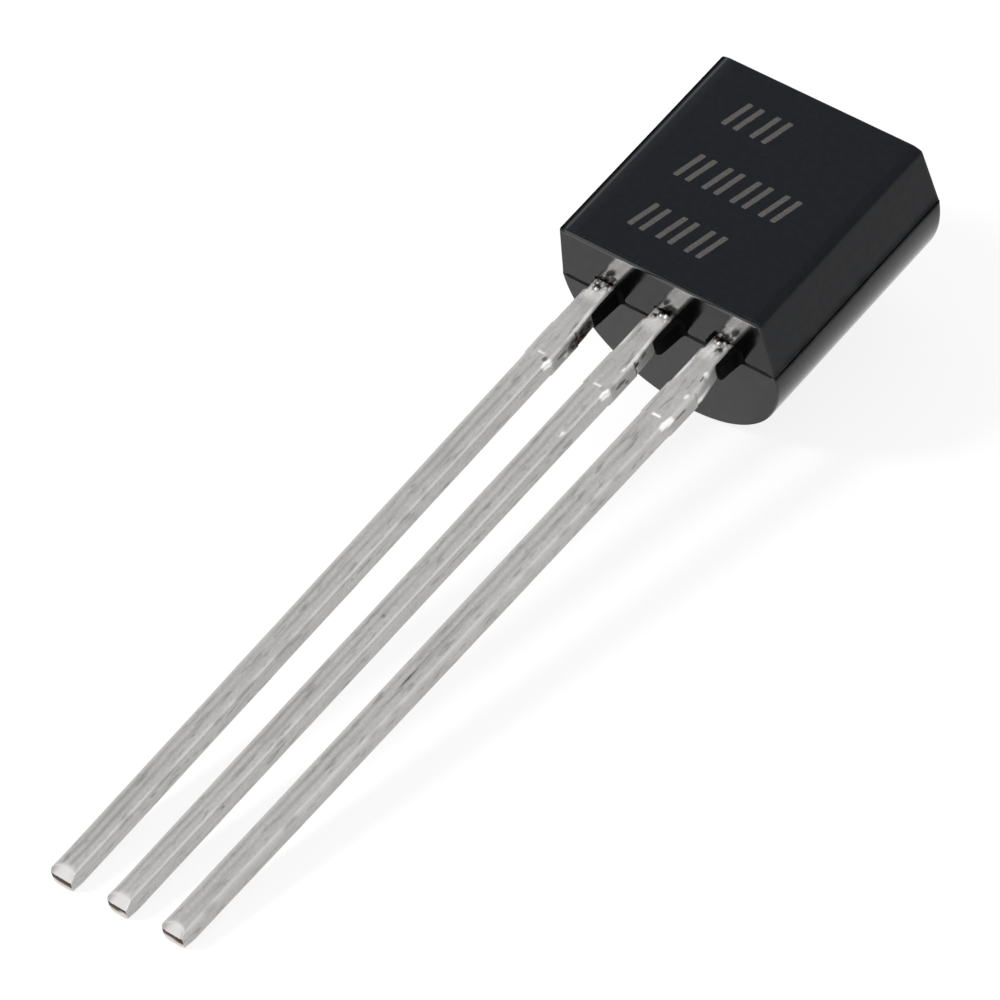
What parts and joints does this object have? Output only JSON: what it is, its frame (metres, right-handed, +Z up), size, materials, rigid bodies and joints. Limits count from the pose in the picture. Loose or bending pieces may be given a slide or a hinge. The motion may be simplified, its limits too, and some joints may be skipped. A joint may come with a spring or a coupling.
{
  "type": "to-92 transistor",
  "caption": "Small through-hole transistor: a D-shaped black moulded body with flat tinned leads, lying flat face up on its round back and lead tips.",
  "frame": {"origin": "middle of the bounding box, on the surface that the part lies on", "axes": "+Y along the part, from the lead tips to the body's upper end; +Z up, out of the flat face but for the rest tilt; +X to the right, seen from above with the leads towards the viewer"},
  "size_m": [0.0046, 0.0188, 0.0042],
  "materials": {
    "moulding": "black moulded epoxy, smooth and fairly glossy, dull grey laser marks on the flat face",
    "tinned_lead": "tin over copper alloy, warm light grey, fine lengthwise streaks and pits, copper showing at the sheared tips",
    "silicon": "polished chip with metal pads",
    "die_bond": "dull eutectic bond",
    "gold_wire": "drawn gold wire"
  },
  "bodies": {
    "root": {"body": "moulding", "emitter_lead": "tinned_lead", "base_lead": "tinned_lead", "collector_lead": "tinned_lead", "die": "silicon", "die_attach": "die_bond", "base_wire": "gold_wire", "emitter_wire": "gold_wire"}
  },
  "joints": []
}
